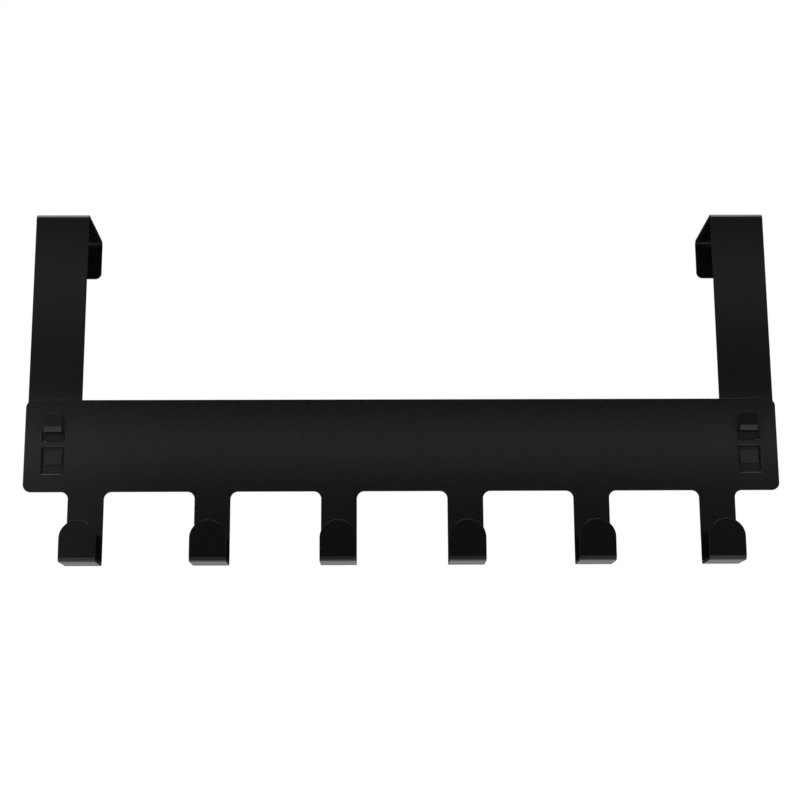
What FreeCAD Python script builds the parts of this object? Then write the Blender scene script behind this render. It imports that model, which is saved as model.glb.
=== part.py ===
import FreeCAD, Part

import math
import os

# Over-door hook rail in folded sheet steel, in millimetres.
# A flat rail carries six J-hooks folded from its own straps. It hangs on two separate
# over-door arms. Each arm has a catch lanced out of its face, which passes forward through
# the rail's upper window and turns up in front of the rail, and below it a half-sheared
# ramp. The rail's lower window snaps over the ramp, whose step then stops the rail from
# lifting off the catch.
# X runs along the rail, Y runs back towards and over the door, Z is up.
# The origin is midway between the arms, where the door's front face meets its top edge.

# Sheet
rail_sheet = 1.2
arm_sheet = 1.2

# Rail
rail_length = 350.0
rail_height = 43.5
rail_corner_radius = 3.5

# Hooks, whose floor droops a little to the front
hook_count = 6
hook_end_inset = 29.25
strap_width = 16.5
strap_root_radius = 3.5
hook_drop = 34.5
hook_reach = 19.4
hook_droop_angle = 2.0
hook_lip_height = 18.7
hook_inside_radius = 0.8

# Arms
arm_width = 25.0
arm_edge_inset = 0.7
arm_rise = 90.8
arm_inside_radius = 1.2
door_gap = 40.0
back_lip_drop = 18.4
back_lip_corner_radius = 3.0
arm_tail_inset = 3.5
arm_tail_corner_radius = 3.0

# Catch: the tab on each arm that carries the rail
tab_width = 8.2
catch_below_rail_top = 7.1
catch_leg = 5.6
catch_corner_radius = 1.4
catch_root_radius = 0.8
catch_level_run = 0.2
catch_lean_angle = 4.0
catch_face_gap = 1.6
catch_seat_gap = 0.05
lance_gap = 0.12

# Ramp: the half-sheared stop below the catch
ramp_below_window_top = 2.0
ramp_length = 6.2
ramp_neck = 0.3
ramp_nose_radius = 0.5

# Windows in the rail
window_side_gap = 0.75
window_corner_radius = 0.6
window_edge_radius = 0.7
window_below_catch = 3.1
window_bar = 3.0
window_below_ramp = 4.3

# Planes and levels that follow from the sizes above
arm_front_y = -arm_sheet
arm_middle_y = -arm_sheet / 2
rail_back_y = arm_front_y
rail_front_y = rail_back_y - rail_sheet
rail_top_z = -arm_rise
rail_bottom_z = rail_top_z - rail_height
window_width = tab_width + 2 * window_side_gap
arm_tail_z = rail_bottom_z + arm_tail_inset
arm_centre_x = rail_length / 2 - arm_edge_inset - arm_width / 2
hook_pitch = (rail_length - 2 * hook_end_inset) / (hook_count - 1)
hook_fold_z = rail_bottom_z - hook_drop + rail_sheet + hook_inside_radius
ramp_rise = arm_sheet - ramp_neck


def point(x, y, z):
    return FreeCAD.Vector(x, y, z)


def rounded_wire(corners, place):
    """Closed wire through (u, v, radius) corners, with a tangent arc at each radius above 0."""
    count = len(corners)
    starts, ends, arcs = [], [], []
    for i in range(count):
        u, v, radius = corners[i]
        before = corners[i - 1]
        after = corners[(i + 1) % count]
        into = (before[0] - u, before[1] - v)
        out = (after[0] - u, after[1] - v)
        into_length = math.hypot(*into)
        out_length = math.hypot(*out)
        into = (into[0] / into_length, into[1] / into_length)
        out = (out[0] / out_length, out[1] / out_length)
        if radius <= 0:
            starts.append((u, v))
            ends.append((u, v))
            arcs.append(None)
            continue
        half = math.acos(max(-1.0, min(1.0, into[0] * out[0] + into[1] * out[1]))) / 2
        back_off = radius / math.tan(half)
        middle = (into[0] + out[0], into[1] + out[1])
        middle_length = math.hypot(*middle)
        reach = radius / math.sin(half) - radius
        starts.append((u + into[0] * back_off, v + into[1] * back_off))
        ends.append((u + out[0] * back_off, v + out[1] * back_off))
        arcs.append((u + middle[0] / middle_length * reach, v + middle[1] / middle_length * reach))
    edges = []
    for i in range(count):
        if arcs[i] is not None:
            edges.append(Part.Arc(place(*starts[i]), place(*arcs[i]), place(*ends[i])).toShape())
        start = place(*ends[i])
        end = place(*starts[(i + 1) % count])
        if start.distanceToPoint(end) > 1e-6:
            edges.append(Part.LineSegment(start, end).toShape())
    return Part.Wire(edges)


def sheet_panel(corners, front_y, thickness):
    """Flat panel standing in the XZ plane, from (x, z, radius) corners, front face at front_y."""
    face = Part.Face(rounded_wire(corners, lambda x, z: point(x, front_y, z)))
    return face.extrude(point(0, thickness, 0))


def side_prism(corners, left, right):
    """Prism from x=left to x=right with a (y, z, radius) outline."""
    face = Part.Face(rounded_wire(corners, lambda y, z: point(left, y, z)))
    return face.extrude(point(right - left, 0, 0))


def box_corners(left, right, bottom, top, bottom_radius=0.0, top_radius=0.0):
    return [
        (left, top, top_radius),
        (right, top, top_radius),
        (right, bottom, bottom_radius),
        (left, bottom, bottom_radius),
    ]


def folded_strip(start, heading, moves, thickness, left, right):
    """Sheet strip folded in the YZ plane along its middle line, from x=left to x=right.

    moves holds ("run", length) and ("bend", middle_radius, turn) in order. A positive turn
    is counter-clockwise when Y points right and Z points up.
    """
    half = thickness / 2
    y, z = start
    direction = math.radians(heading)
    side_a, side_b = [], []

    def offset(side):
        return point(left, y - math.sin(direction) * side, z + math.cos(direction) * side)

    for move in moves:
        if move[0] == "run":
            before_a, before_b = offset(half), offset(-half)
            y += math.cos(direction) * move[1]
            z += math.sin(direction) * move[1]
            side_a.append(Part.LineSegment(before_a, offset(half)).toShape())
            side_b.append(Part.LineSegment(before_b, offset(-half)).toShape())
            continue
        radius = move[1]
        turn = math.radians(move[2])
        sign = 1 if turn > 0 else -1
        centre_y = y - math.sin(direction) * radius * sign
        centre_z = z + math.cos(direction) * radius * sign
        stations = []
        for share in (0.0, 0.5, 1.0):
            angle = direction + turn * share
            y = centre_y + math.sin(angle) * radius * sign
            z = centre_z - math.cos(angle) * radius * sign
            here = direction
            direction = angle
            stations.append((offset(half), offset(-half)))
            direction = here
        direction += turn
        side_a.append(Part.Arc(*[station[0] for station in stations]).toShape())
        side_b.append(Part.Arc(*[station[1] for station in stations]).toShape())
    start_cap = Part.LineSegment(side_b[0].Vertexes[0].Point, side_a[0].Vertexes[0].Point).toShape()
    end_cap = Part.LineSegment(offset(half), offset(-half)).toShape()
    wire = Part.Wire(Part.__sortEdges__(side_a + [end_cap] + side_b + [start_cap]))
    return Part.Face(wire).extrude(point(right - left, 0, 0))


def catch_front_radius():
    """Middle radius of the catch's front bend, which sets the leg the face gap off the rail."""
    leg_middle_y = rail_front_y - catch_face_gap - arm_sheet / 2
    forward = arm_middle_y - leg_middle_y - catch_root_radius - catch_level_run
    return forward / math.cos(math.radians(catch_lean_angle))


def catch_levels():
    """Top of the catch's leg, and the root on the arm where its first bend starts."""
    lean = math.radians(catch_lean_angle)
    leg_top_z = rail_top_z - catch_below_rail_top
    leg_bottom_z = leg_top_z - catch_leg * math.cos(lean)
    root_z = leg_bottom_z - catch_front_radius() * (1 - math.sin(lean)) - catch_root_radius
    return leg_top_z, root_z


def window_levels():
    """Top and bottom of the upper and of the lower window, from the tabs that stand in them."""
    _, root_z = catch_levels()
    # The upper window's rounded top edge nests in the inside of the catch's front bend.
    nest_radius = catch_front_radius() - arm_sheet / 2 - window_edge_radius
    bend_centre_y = arm_middle_y - catch_root_radius - catch_level_run
    overlap = max(0.0, bend_centre_y - rail_front_y - window_edge_radius)
    climb = nest_radius - math.sqrt(nest_radius ** 2 - overlap ** 2)
    upper_top = root_z + catch_root_radius + arm_sheet / 2 + climb + catch_seat_gap
    upper_bottom = root_z - window_below_catch
    lower_top = upper_bottom - window_bar
    lower_bottom = lower_top - ramp_below_window_top - ramp_length - window_below_ramp
    return upper_top, upper_bottom, lower_top, lower_bottom


def hook(centre_x):
    """J-hook from the strap's lower end: two folds and a lip with a full-round top."""
    left = centre_x - strap_width / 2
    right = centre_x + strap_width / 2
    middle_radius = hook_inside_radius + rail_sheet / 2
    outside_radius = hook_inside_radius + rail_sheet
    droop = math.radians(hook_droop_angle)
    floor_run = (hook_reach + rail_sheet / 2 - middle_radius) / math.cos(droop) - outside_radius
    front_low_z = hook_fold_z - outside_radius - floor_run * math.sin(droop)
    lip_top_z = front_low_z + hook_lip_height
    lip_run = (hook_lip_height - outside_radius * (1 - math.sin(droop))) / math.cos(droop)
    moves = [
        ("bend", middle_radius, hook_droop_angle - 90),
        ("run", floor_run),
        ("bend", middle_radius, -90),
        ("run", lip_run),
    ]
    start = (rail_front_y + rail_sheet / 2, hook_fold_z)
    strip = folded_strip(start, 270, moves, rail_sheet, left, right)
    outline = box_corners(left, right, front_low_z - rail_sheet, lip_top_z, 0, strap_width / 2)
    depth = 2 * hook_reach
    return strip.common(sheet_panel(outline, rail_back_y - depth, depth))


def hook_centres():
    first = -hook_pitch * (hook_count - 1) / 2
    return [first + hook_pitch * i for i in range(hook_count)]


def rail_blank():
    """Outline of the rail with its straps, down to where the hooks' folds start."""
    end_x = rail_length / 2
    corners = [
        (-end_x, rail_top_z, rail_corner_radius),
        (end_x, rail_top_z, rail_corner_radius),
        (end_x, rail_bottom_z, rail_corner_radius),
    ]
    for centre_x in reversed(hook_centres()):
        corners.append((centre_x + strap_width / 2, rail_bottom_z, strap_root_radius))
        corners.append((centre_x + strap_width / 2, hook_fold_z, 0))
        corners.append((centre_x - strap_width / 2, hook_fold_z, 0))
        corners.append((centre_x - strap_width / 2, rail_bottom_z, strap_root_radius))
    corners.append((-end_x, rail_bottom_z, rail_corner_radius))
    return sheet_panel(corners, rail_front_y, rail_sheet)


def in_window_front(edge, centre_x, bottom, top):
    """True for an edge of the window where it opens in the rail's front face."""
    slack = 1e-6
    return all(
        abs(vertex.Y - rail_front_y) < slack
        and abs(vertex.X - centre_x) < window_width / 2 + slack
        and bottom - slack < vertex.Z < top + slack
        for vertex in edge.Vertexes
    )


def hook_rail():
    """The rail's flat blank with its straps and windows, and the folded hooks."""
    rail = rail_blank()
    upper_top, upper_bottom, lower_top, lower_bottom = window_levels()
    rolled = []
    for centre_x in (-arm_centre_x, arm_centre_x):
        for top, bottom in ((upper_top, upper_bottom), (lower_top, lower_bottom)):
            window = box_corners(
                centre_x - window_width / 2, centre_x + window_width / 2, bottom, top,
                window_corner_radius, window_corner_radius,
            )
            rail = rail.cut(sheet_panel(window, rail_front_y, rail_sheet))
            rolled.append((centre_x, bottom, top))
    edges = [edge for edge in rail.Edges if any(in_window_front(edge, *place) for place in rolled)]
    rail = rail.makeFillet(window_edge_radius, edges)
    for centre_x in hook_centres():
        rail = rail.fuse(hook(centre_x))
    return rail.removeSplitter()


def catch(centre_x):
    """Tab lanced from the arm: root at the bottom, level through the rail, then up."""
    leg_top_z, root_z = catch_levels()
    left = centre_x - tab_width / 2
    right = centre_x + tab_width / 2
    leg_run = catch_leg + arm_sheet / 2 * math.tan(math.radians(catch_lean_angle))
    moves = [
        ("bend", catch_root_radius, 90),
        ("run", catch_level_run),
        ("bend", catch_front_radius(), catch_lean_angle - 90),
        ("run", leg_run),
    ]
    strip = folded_strip((arm_middle_y, root_z), 90, moves, arm_sheet, left, right)
    depth = 2 * (2 * arm_sheet + rail_sheet + catch_face_gap)
    trim = box_corners(left, right, root_z, leg_top_z, 0, catch_corner_radius)
    return strip.common(sheet_panel(trim, -depth, depth))


def catch_opening(centre_x):
    """Hole that the catch leaves in the arm, as long as the catch was when flat."""
    _, root_z = catch_levels()
    front_turn = math.radians(90 - catch_lean_angle)
    flat_length = catch_leg + catch_level_run + catch_front_radius() * front_turn
    flat_length += catch_root_radius * math.radians(90)
    reach = tab_width / 2 + lance_gap
    corners = box_corners(
        centre_x - reach, centre_x + reach, root_z, root_z + flat_length + lance_gap,
        0, catch_corner_radius,
    )
    return sheet_panel(corners, arm_front_y, arm_sheet)


def ramp_wedge(centre_x, face_y):
    """Wedge that the ramp adds in front of the arm's front face, and takes from its back face."""
    _, _, lower_top, _ = window_levels()
    top_z = lower_top - ramp_below_window_top
    bottom_z = top_z - ramp_length
    corners = [
        (face_y, top_z, 0),
        (face_y - ramp_rise, bottom_z, min(ramp_nose_radius, ramp_rise / 2)),
        (face_y, bottom_z, 0),
    ]
    return side_prism(corners, centre_x - tab_width / 2, centre_x + tab_width / 2)


def arm(centre_x):
    """Over-door arm: face, top plate and short back lip in one folded strip, with its tabs."""
    left = centre_x - arm_width / 2
    right = centre_x + arm_width / 2
    middle_radius = arm_inside_radius + arm_sheet / 2
    fold_z = -arm_inside_radius
    face = sheet_panel(
        box_corners(left, right, arm_tail_z, fold_z, arm_tail_corner_radius, 0),
        arm_front_y, arm_sheet,
    )
    moves = [
        ("bend", middle_radius, -90),
        ("run", door_gap - 2 * arm_inside_radius),
        ("bend", middle_radius, -90),
    ]
    top = folded_strip((arm_middle_y, fold_z), 90, moves, arm_sheet, left, right)
    back = sheet_panel(
        box_corners(left, right, -back_lip_drop, fold_z, back_lip_corner_radius, 0),
        door_gap, arm_sheet,
    )
    body = face.fuse([top, back])
    body = body.cut(catch_opening(centre_x))
    body = body.fuse([catch(centre_x), ramp_wedge(centre_x, arm_front_y)])
    return body.cut(ramp_wedge(centre_x, 0)).removeSplitter()


def main():
    os.makedirs("parts", exist_ok=True)
    nodes = {
        "hook_rail": hook_rail(),
        "left_arm": arm(-arm_centre_x),
        "right_arm": arm(arm_centre_x),
    }
    for name, shape in nodes.items():
        box = shape.BoundBox
        print(name, "solids", len(shape.Solids), "valid", shape.isValid(), "volume", round(shape.Volume, 1),
              "x", round(box.XMin, 2), round(box.XMax, 2), "y", round(box.YMin, 2), round(box.YMax, 2),
              "z", round(box.ZMin, 2), round(box.ZMax, 2))
        shape.exportStep("parts/" + name + ".step")


main()
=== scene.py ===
import math

import bmesh
import bpy
from mathutils import Matrix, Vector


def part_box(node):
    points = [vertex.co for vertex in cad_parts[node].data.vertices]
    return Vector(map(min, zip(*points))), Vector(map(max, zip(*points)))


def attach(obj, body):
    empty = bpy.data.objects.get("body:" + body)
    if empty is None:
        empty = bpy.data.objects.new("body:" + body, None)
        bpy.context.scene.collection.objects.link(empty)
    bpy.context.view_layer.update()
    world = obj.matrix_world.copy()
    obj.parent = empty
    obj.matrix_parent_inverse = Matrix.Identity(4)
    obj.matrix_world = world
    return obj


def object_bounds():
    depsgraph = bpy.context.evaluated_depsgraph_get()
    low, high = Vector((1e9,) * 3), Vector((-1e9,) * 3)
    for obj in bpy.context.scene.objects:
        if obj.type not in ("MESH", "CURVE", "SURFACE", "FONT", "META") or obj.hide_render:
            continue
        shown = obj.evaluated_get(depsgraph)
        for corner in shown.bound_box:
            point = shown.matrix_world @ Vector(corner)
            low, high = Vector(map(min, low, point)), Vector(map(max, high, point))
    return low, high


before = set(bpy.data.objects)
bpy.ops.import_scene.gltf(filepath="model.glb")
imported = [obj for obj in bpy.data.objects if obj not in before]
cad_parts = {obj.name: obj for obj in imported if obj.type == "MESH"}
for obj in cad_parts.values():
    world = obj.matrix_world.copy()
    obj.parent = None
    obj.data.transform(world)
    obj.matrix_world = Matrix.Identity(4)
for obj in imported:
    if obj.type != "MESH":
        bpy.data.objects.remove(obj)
cad_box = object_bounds()

# Camera, fitted to the photograph's edges. Lengths are in metres and turns in degrees.
PHOTO_SIDE = 800
FOCAL_PIXELS = 1737.2
SENSOR_WIDTH = 36.0
CAMERA_PLACE = (-0.01156, -0.79291, -0.27854)
CAMERA_YAW = -0.784
CAMERA_PITCH = 13.334
CAMERA_ROLL = 0.321
CLIP_START = 0.01
CLIP_END = 50.0

# Stage
FLOOR_DROP = 0.32
FLOOR_SIDE = 60.0
FLOOR_COLOUR = (0.86, 0.86, 0.86)
FLOOR_ROUGHNESS = 0.8
BACKGROUND_STRENGTH = 1.0
WORLD_FILL_STRENGTH = 0.55

# Reflection cards. They stand round the object, and only its gloss sees them.
CARD_HALF_WIDTH = 1.6
CARD_FRONT_Y = -1.2
CARD_BACK_Y = 1.6
CARD_BOTTOM_Z = -0.47
CARD_TOP_Z = 2.7
BACK_CARD_TOP_Z = 1.7
FRONT_FLOOR_CARD_END_Y = -0.1
BACK_FLOOR_CARD_START_Y = 0.5

# Each card's steps: a place along one axis, and how bright the card is there
FRONT_CARD_LEVELS = (
    # Low down, for the hooks' folds
    (-0.47, 0.75), (-0.33, 0.22), (-0.14, 0.05),
    # For the hooks' lips and straps
    (-0.05, 0.03), (0.01, 0.11), (0.05, 0.12), (0.08, 0.03),
    # Soft band for the rail
    (0.11, 0.06), (0.13, 0.72), (0.15, 0.72), (0.172, 0.06), (0.20, 0.0),
    # Soft band for the arms
    (0.25, 0.06), (0.30, 0.20), (0.345, 0.40), (0.385, 0.20), (0.42, 0.0), (0.47, 0.0),
    # Band for the ramps and catches
    (0.53, 0.70), (0.60, 0.70), (0.75, 0.12), (2.7, 0.12),
)
SIDE_CARD_LEVELS = ((-0.47, 0.35), (-0.1, 0.20), (0.5, 0.06), (2.7, 0.06))
BACK_CARD_LEVELS = (
    (-0.47, 0.06), (-0.41, 0.10), (-0.37, 0.38), (-0.20, 0.38), (-0.12, 0.04), (0.9, 0.04),
    (1.2, 0.35), (1.7, 0.50),
)
FRONT_FLOOR_CARD_LEVELS = (
    (-1.6, 0.8), (-0.21, 0.8), (-0.16, 0.32), (0.14, 0.32), (0.19, 0.8), (1.6, 0.8),
)
BACK_FLOOR_CARD_LEVELS = ((0.5, 0.10), (0.9, 0.45), (1.2, 0.45), (1.6, 0.08))

# Glow added to the front card: its steps along X, and the share of it that is left at a height
FRONT_CARD_GLOW = (
    (-1.6, 0.26), (-0.44, 0.26), (-0.34, 0.12), (-0.25, 0.0), (0.34, 0.0), (0.46, 0.06), (1.6, 0.06),
)
GLOW_FADE = ((0.09, 1.0), (0.14, 0.75), (0.17, 0.5), (0.20, 0.65), (0.26, 0.2))

# Lamps overhead: a softbox that the gloss shows, and a fill that it doesn't
SOFTBOX_PLACE = (-0.25, -0.30, 1.3)
SOFTBOX_SIZE = (1.50, 0.90)
SOFTBOX_POWER = 13.0
FILL_PLACE = (0.0, 0.4, 1.8)
FILL_SIZE = (2.0, 2.0)
FILL_POWER = 9.0

# Powder coat. Noise scales are in bumps per metre, and each range is the part of the noise used.
COAT_COLOUR = (0.0036, 0.0036, 0.0038)
COAT_COLOUR_LIGHT = (0.0044, 0.0044, 0.0047)
TONE_SCALE = 900.0
TONE_DETAIL = 3.0
TONE_RANGE = (0.35, 0.65)
COAT_ROUGHNESS = (0.12, 0.14)
GLOSS_SCALE = 240.0
GLOSS_DETAIL = 4.0
GLOSS_ROUGHNESS = 0.6
GLOSS_RANGE = (0.3, 0.7)
PEEL_SCALE = 520.0
PEEL_STRENGTH = 0.35
PEEL_HEIGHT = 0.00003
GRAIN_SCALE = 2600.0
GRAIN_STRENGTH = 0.3
GRAIN_HEIGHT = 0.000006
BUMP_DETAIL = 2.0

# Powder settles thin and rough in recesses: how near their walls are, and the roughness added
RECESS_REACH = 0.0045
RECESS_ROUGHNESS = 0.5
RECESS_SAMPLES = 8
RECESS_RANGE = (0.5, 0.94)

# The noise is shifted from piece to piece, so no two pieces look the same
COAT_SHIFT = 0.37
SHOULDER_COAT_SHIFT = 1.5

# The round that the coat leaves on cut edges
ARM_EDGE_RADIUS = 0.00008
RAIL_EDGE_RADIUS = 0.0001
LIP_EDGE_RADIUS = 0.00028
CUT_EDGE_ANGLE = math.radians(35)
EDGE_SEGMENTS = 3
FLAT_ANGLE = math.radians(0.5)
WELD_DISTANCE = 1e-6
NORMAL_WEIGHT = 100

# The hooks' lips are in front of this, and their round ends go from one height to the other
RAIL = "hook_rail"
LIP_BACK_Y = -0.015
LIP_ARC_START_Z = -0.1589
LIP_ARC_TOP_Z = -0.1515

# The arms, and the top edge of the ramp on each
ARMS = ("left_arm", "right_arm")
ARM_FRONT_Y = -0.0012
RAMP_TOP_Z = -0.1152
RAMP_EDGE_REACH = 0.00015

# Shoulders on the arms, beside each catch and inside the rail's upper window
CATCH_HALF_WIDTH = 0.0041
SHOULDER_WIDTH = 0.0007
SHOULDER_FRONT_Y = -0.0021
SHOULDER_BACK_Y = ARM_FRONT_Y
SHOULDER_BOTTOM_Z = -0.1074
SHOULDER_TOP_Z = -0.10566


def make_camera():
    """Camera at the photograph's place, turn and focal length."""
    data = bpy.data.cameras.new("camera")
    data.sensor_width = SENSOR_WIDTH
    data.lens = FOCAL_PIXELS * SENSOR_WIDTH / PHOTO_SIDE
    data.clip_start = CLIP_START
    data.clip_end = CLIP_END
    camera = bpy.data.objects.new("camera", data)
    bpy.context.collection.objects.link(camera)
    turn = (
        Matrix.Rotation(math.radians(CAMERA_YAW), 4, "Z")
        @ Matrix.Rotation(math.radians(CAMERA_PITCH), 4, "X")
        @ Matrix.Rotation(math.radians(CAMERA_ROLL), 4, "Y")
        @ Matrix.Rotation(math.radians(90), 4, "X")
    )
    camera.matrix_world = Matrix.Translation(CAMERA_PLACE) @ turn
    bpy.context.scene.camera = camera


def new_material(name):
    """Material with an empty node tree."""
    material = bpy.data.materials.new(name)
    material.use_nodes = True
    material.node_tree.nodes.clear()
    return material, material.node_tree.nodes, material.node_tree.links


def surface_from(nodes, links, shader_socket):
    """Makes a shader's output the material's surface."""
    output = nodes.new("ShaderNodeOutputMaterial")
    links.new(shader_socket, output.inputs["Surface"])


def powder_coat(name, shift):
    """Satin black powder coat: fine grain and orange peel, uneven gloss and tone, dull recesses."""
    material, nodes, links = new_material(name)
    place = nodes.new("ShaderNodeTexCoord")
    moved = nodes.new("ShaderNodeMapping")
    moved.inputs["Location"].default_value = (shift, 0.0, 0.0)
    links.new(place.outputs["Object"], moved.inputs["Vector"])

    def noise(scale, detail, roughness=0.5):
        node = nodes.new("ShaderNodeTexNoise")
        node.inputs["Scale"].default_value = scale
        node.inputs["Detail"].default_value = detail
        node.inputs["Roughness"].default_value = roughness
        links.new(moved.outputs["Vector"], node.inputs["Vector"])
        return node.outputs["Fac"]

    def remap(value, from_range, to_range):
        node = nodes.new("ShaderNodeMapRange")
        node.inputs["From Min"].default_value, node.inputs["From Max"].default_value = from_range
        node.inputs["To Min"].default_value, node.inputs["To Max"].default_value = to_range
        links.new(value, node.inputs["Value"])
        return node.outputs["Result"]

    def bump(scale, strength, height):
        node = nodes.new("ShaderNodeBump")
        node.inputs["Strength"].default_value = strength
        node.inputs["Distance"].default_value = height
        links.new(noise(scale, BUMP_DETAIL), node.inputs["Height"])
        return node

    shader = nodes.new("ShaderNodeBsdfPrincipled")
    surface_from(nodes, links, shader.outputs["BSDF"])

    tone = nodes.new("ShaderNodeMix")
    tone.data_type = "RGBA"
    tone.inputs["A"].default_value = (*COAT_COLOUR, 1.0)
    tone.inputs["B"].default_value = (*COAT_COLOUR_LIGHT, 1.0)
    links.new(remap(noise(TONE_SCALE, TONE_DETAIL), TONE_RANGE, (0.0, 1.0)), tone.inputs["Factor"])
    links.new(tone.outputs["Result"], shader.inputs["Base Color"])

    gloss = remap(noise(GLOSS_SCALE, GLOSS_DETAIL, GLOSS_ROUGHNESS), GLOSS_RANGE, COAT_ROUGHNESS)
    depth = nodes.new("ShaderNodeAmbientOcclusion")
    depth.samples = RECESS_SAMPLES
    depth.inputs["Distance"].default_value = RECESS_REACH
    roughness = nodes.new("ShaderNodeMath")
    roughness.operation = "ADD"
    links.new(gloss, roughness.inputs[0])
    links.new(remap(depth.outputs["AO"], RECESS_RANGE, (RECESS_ROUGHNESS, 0.0)), roughness.inputs[1])
    links.new(roughness.outputs[0], shader.inputs["Roughness"])

    peel = bump(PEEL_SCALE, PEEL_STRENGTH, PEEL_HEIGHT)
    grain = bump(GRAIN_SCALE, GRAIN_STRENGTH, GRAIN_HEIGHT)
    links.new(peel.outputs["Normal"], grain.inputs["Normal"])
    links.new(grain.outputs["Normal"], shader.inputs["Normal"])
    return material


def dress(piece, material, edge_radius, weighed=False):
    """Gives a steel piece its coat, and the small round that the coat leaves on every cut edge."""
    piece.data.materials.clear()
    piece.data.materials.append(material)
    weld = piece.modifiers.new("weld", "WELD")
    weld.merge_threshold = WELD_DISTANCE
    flats = piece.modifiers.new("flats", "DECIMATE")
    flats.decimate_type = "DISSOLVE"
    flats.angle_limit = FLAT_ANGLE
    if weighed:
        weigh_cut_edges(piece)
    edges = piece.modifiers.new("edges", "BEVEL")
    edges.width = edge_radius
    edges.segments = EDGE_SEGMENTS
    edges.limit_method = "WEIGHT" if weighed else "ANGLE"
    edges.angle_limit = CUT_EDGE_ANGLE
    edges.use_clamp_overlap = False
    edges.miter_outer = "MITER_ARC"
    if piece.name in ARMS:
        crisp_ramp_top(piece)
    normals = piece.modifiers.new("normals", "WEIGHTED_NORMAL")
    normals.keep_sharp = True
    normals.weight = NORMAL_WEIGHT


def geometry_modifier(piece, name):
    """Adds an empty geometry nodes modifier. Returns its tree's ends and the Position's axes."""
    tree = bpy.data.node_groups.new(name, "GeometryNodeTree")
    for direction in ("INPUT", "OUTPUT"):
        tree.interface.new_socket("Geometry", in_out=direction, socket_type="NodeSocketGeometry")
    nodes, links = tree.nodes, tree.links
    enter = nodes.new("NodeGroupInput")
    leave = nodes.new("NodeGroupOutput")
    place = nodes.new("GeometryNodeInputPosition")
    split = nodes.new("ShaderNodeSeparateXYZ")
    links.new(place.outputs["Position"], split.inputs["Vector"])
    piece.modifiers.new(name, "NODES").node_group = tree
    return nodes, links, enter.outputs["Geometry"], leave.inputs["Geometry"], split.outputs


def compare(nodes, links, value, operation, target):
    """Compare node between a value and a number. Returns the node."""
    node = nodes.new("FunctionNodeCompare")
    node.operation = operation
    node.inputs["B"].default_value = target
    links.new(value, node.inputs["A"])
    return node


def weigh_cut_edges(rail):
    """Weights for the bevel on the rail's cut edges: they grow along the lips' round ends."""
    nodes, links, enter, leave, axes = geometry_modifier(rail, "edge_weights")
    corner = nodes.new("GeometryNodeInputMeshEdgeAngle")
    cut = compare(nodes, links, corner.outputs["Unsigned Angle"], "GREATER_THAN", CUT_EDGE_ANGLE)
    on_lip = compare(nodes, links, axes["Y"], "LESS_THAN", LIP_BACK_Y)
    small = RAIL_EDGE_RADIUS / LIP_EDGE_RADIUS
    climb = nodes.new("ShaderNodeMapRange")
    climb.inputs["From Min"].default_value = LIP_ARC_START_Z
    climb.inputs["From Max"].default_value = LIP_ARC_TOP_Z
    climb.inputs["To Min"].default_value = small
    links.new(axes["Z"], climb.inputs["Value"])
    share = nodes.new("GeometryNodeSwitch")
    share.input_type = "FLOAT"
    share.inputs["False"].default_value = small
    links.new(climb.outputs["Result"], share.inputs["True"])
    links.new(on_lip.outputs["Result"], share.inputs["Switch"])
    weight = nodes.new("ShaderNodeMath")
    weight.operation = "MULTIPLY"
    links.new(share.outputs["Output"], weight.inputs[0])
    links.new(cut.outputs["Result"], weight.inputs[1])
    store = nodes.new("GeometryNodeStoreNamedAttribute")
    store.data_type = "FLOAT"
    store.domain = "EDGE"
    store.inputs["Name"].default_value = "bevel_weight_edge"
    links.new(enter, store.inputs["Geometry"])
    links.new(weight.outputs[0], store.inputs["Value"])
    links.new(store.outputs["Geometry"], leave)


def crisp_ramp_top(arm):
    """Keeps the shading of the ramp's sloped face apart from the arm's flat face above it."""
    nodes, links, enter, leave, axes = geometry_modifier(arm, "ramp_top")
    both = nodes.new("FunctionNodeBooleanMath")
    both.operation = "AND"
    for number, (axis, target) in enumerate((("Y", ARM_FRONT_Y), ("Z", RAMP_TOP_Z))):
        near = compare(nodes, links, axes[axis], "EQUAL", target)
        near.inputs["Epsilon"].default_value = RAMP_EDGE_REACH
        links.new(near.outputs["Result"], both.inputs[number])
    shade = nodes.new("GeometryNodeSetShadeSmooth")
    shade.domain = "EDGE"
    shade.inputs["Shade Smooth"].default_value = False
    links.new(enter, shade.inputs["Geometry"])
    links.new(both.outputs["Boolean"], shade.inputs["Selection"])
    links.new(shade.outputs["Geometry"], leave)


def new_sheet(name, corners):
    """Object with one four-sided face."""
    mesh = bpy.data.meshes.new(name)
    mesh.from_pydata(corners, [], [(0, 1, 2, 3)])
    sheet = bpy.data.objects.new(name, mesh)
    bpy.context.collection.objects.link(sheet)
    return sheet


def make_floor():
    """Plain pale floor below the hanging rail."""
    half = FLOOR_SIDE / 2
    floor = new_sheet("floor", [(-half, -half, 0), (half, -half, 0), (half, half, 0), (-half, half, 0)])
    floor.location.z = cad_box[0].z - FLOOR_DROP
    material, nodes, links = new_material("floor")
    shader = nodes.new("ShaderNodeBsdfPrincipled")
    shader.inputs["Base Color"].default_value = (*FLOOR_COLOUR, 1.0)
    shader.inputs["Roughness"].default_value = FLOOR_ROUGHNESS
    surface_from(nodes, links, shader.outputs["BSDF"])
    floor.data.materials.append(material)


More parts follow.
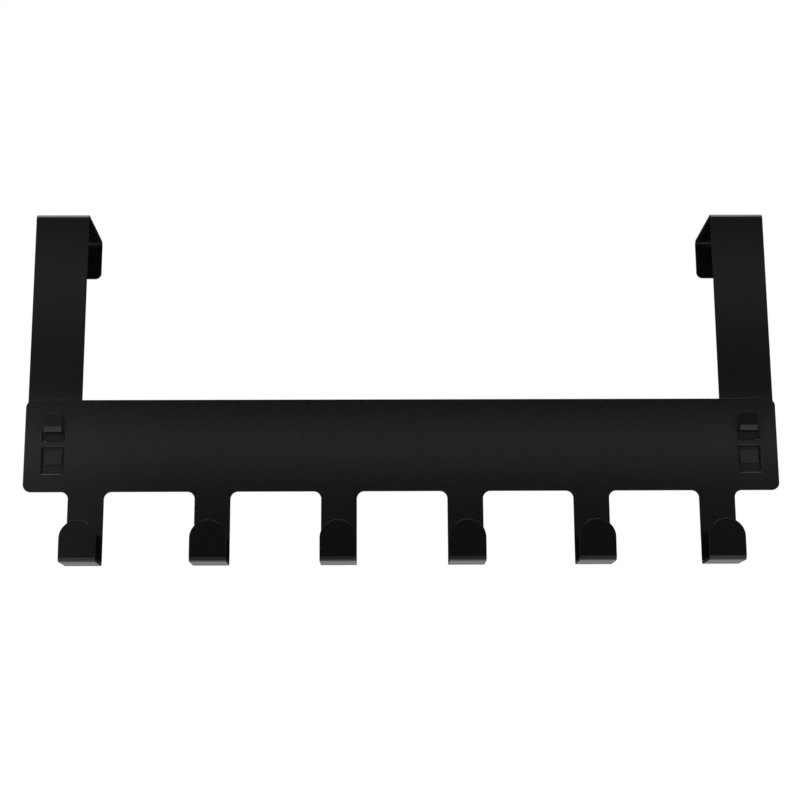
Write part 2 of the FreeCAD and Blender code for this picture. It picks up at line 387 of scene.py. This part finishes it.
def make_world():
    """White where the camera, or a reflection, looks at it, and a plain fill for the rest."""
    world = bpy.data.worlds.new("studio")
    world.use_nodes = True
    nodes, links = world.node_tree.nodes, world.node_tree.links
    nodes.clear()
    path = nodes.new("ShaderNodeLightPath")

    def larger(first, second):
        node = nodes.new("ShaderNodeMath")
        node.operation = "MAXIMUM"
        links.new(first, node.inputs[0])
        links.new(second, node.inputs[1])
        return node.outputs[0]

    def white(strength):
        node = nodes.new("ShaderNodeBackground")
        node.inputs["Color"].default_value = (1.0, 1.0, 1.0, 1.0)
        node.inputs["Strength"].default_value = strength
        return node.outputs["Background"]

    seen = larger(
        path.outputs["Is Camera Ray"],
        larger(path.outputs["Is Glossy Ray"], path.outputs["Is Transmission Ray"]),
    )
    mix = nodes.new("ShaderNodeMixShader")
    links.new(seen, mix.inputs["Fac"])
    links.new(white(WORLD_FILL_STRENGTH), mix.inputs[1])
    links.new(white(BACKGROUND_STRENGTH), mix.inputs[2])
    output = nodes.new("ShaderNodeOutputWorld")
    links.new(mix.outputs["Shader"], output.inputs["Surface"])
    bpy.context.scene.world = world


def stepped_level(nodes, links, value, levels):
    """Brightness that follows (value, level) steps, blended from each to the next."""
    first, last = levels[0][0], levels[-1][0]
    spread = nodes.new("ShaderNodeMapRange")
    spread.inputs["From Min"].default_value = first
    spread.inputs["From Max"].default_value = last
    bands = nodes.new("ShaderNodeValToRGB")
    stops = bands.color_ramp.elements
    while len(stops) < len(levels):
        stops.new(0.5)
    for stop, (where, level) in zip(stops, levels):
        stop.position = (where - first) / (last - first)
        stop.color = (level, level, level, 1.0)
    links.new(value, spread.inputs["Value"])
    links.new(spread.outputs["Result"], bands.inputs["Fac"])
    return bands.outputs["Color"]


def reflection_card(name, corners, axis, levels, glow=None):
    """Studio card seen in the object's gloss alone. levels go along axis, and glow along X."""
    card = new_sheet(name, corners)
    material, nodes, links = new_material(name)
    shine = nodes.new("ShaderNodeEmission")
    surface_from(nodes, links, shine.outputs["Emission"])
    place = nodes.new("ShaderNodeTexCoord")
    split = nodes.new("ShaderNodeSeparateXYZ")
    links.new(place.outputs["Object"], split.inputs["Vector"])
    colour = stepped_level(nodes, links, split.outputs[axis], levels)
    if glow:
        add = nodes.new("ShaderNodeVectorMath")
        add.operation = "MULTIPLY_ADD"
        links.new(stepped_level(nodes, links, split.outputs["X"], glow), add.inputs[0])
        links.new(stepped_level(nodes, links, split.outputs["Z"], GLOW_FADE), add.inputs[1])
        links.new(colour, add.inputs[2])
        colour = add.outputs["Vector"]
    links.new(colour, shine.inputs["Color"])
    card.data.materials.append(material)
    card.visible_camera = False
    card.visible_diffuse = False
    card.visible_transmission = False
    card.visible_shadow = False


def make_cards():
    """Cards in front, behind, at both sides and over the floor, for the steel to reflect."""
    left, right = -CARD_HALF_WIDTH, CARD_HALF_WIDTH
    front, back, low, high = CARD_FRONT_Y, CARD_BACK_Y, CARD_BOTTOM_Z, CARD_TOP_Z

    def upright(y, top):
        return [(left, y, low), (right, y, low), (right, y, top), (left, y, top)]

    def level(start, end):
        return [(left, start, low), (right, start, low), (right, end, low), (left, end, low)]

    reflection_card("front_card", upright(front, high), "Z", FRONT_CARD_LEVELS, FRONT_CARD_GLOW)
    for name, x in (("left_card", left), ("right_card", right)):
        corners = [(x, front, low), (x, back, low), (x, back, high), (x, front, high)]
        reflection_card(name, corners, "Z", SIDE_CARD_LEVELS)
    reflection_card("back_card", upright(back, BACK_CARD_TOP_Z), "Z", BACK_CARD_LEVELS)
    corners = level(front, FRONT_FLOOR_CARD_END_Y)
    reflection_card("front_floor_card", corners, "X", FRONT_FLOOR_CARD_LEVELS)
    corners = level(BACK_FLOOR_CARD_START_Y, back)
    reflection_card("back_floor_card", corners, "Y", BACK_FLOOR_CARD_LEVELS)


def make_shoulders(material):
    """Blocks beside the catches where they pass the rail, so no light shows through the arms."""
    for arm in ARMS:
        low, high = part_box(arm)
        centre_x = (low[0] + high[0]) / 2
        for side, sign in (("left", -1), ("right", 1)):
            name = arm + "_" + side + "_shoulder"
            inner = centre_x + sign * CATCH_HALF_WIDTH
            outer = inner + sign * SHOULDER_WIDTH
            build = bmesh.new()
            corners = [
                build.verts.new((x, y, z))
                for x in sorted((inner, outer))
                for y in (SHOULDER_FRONT_Y, SHOULDER_BACK_Y)
                for z in (SHOULDER_BOTTOM_Z, SHOULDER_TOP_Z)
            ]
            bmesh.ops.convex_hull(build, input=corners)
            mesh = bpy.data.meshes.new(name)
            build.to_mesh(mesh)
            build.free()
            piece = bpy.data.objects.new(name, mesh)
            bpy.context.collection.objects.link(piece)
            dress(piece, material, ARM_EDGE_RADIUS)
            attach(piece, "root")


def area_lamp(name, place, size, power, glossy):
    """Lamp that faces straight down."""
    data = bpy.data.lights.new(name, "AREA")
    data.shape = "RECTANGLE"
    data.size, data.size_y = size
    data.energy = power
    lamp = bpy.data.objects.new(name, data)
    lamp.visible_glossy = glossy
    bpy.context.collection.objects.link(lamp)
    lamp.location = place


make_camera()
make_world()
make_floor()
make_cards()
area_lamp("softbox", SOFTBOX_PLACE, SOFTBOX_SIZE, SOFTBOX_POWER, True)
area_lamp("fill", FILL_PLACE, FILL_SIZE, FILL_POWER, False)
for number, (name, node) in enumerate(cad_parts.items()):
    coat = powder_coat("powder_coat_" + name, COAT_SHIFT * number)
    if name == RAIL:
        dress(node, coat, LIP_EDGE_RADIUS, weighed=True)
    else:
        dress(node, coat, ARM_EDGE_RADIUS)
make_shoulders(powder_coat("powder_coat_shoulders", SHOULDER_COAT_SHIFT))

bpy.context.scene.view_settings.view_transform = "Standard"
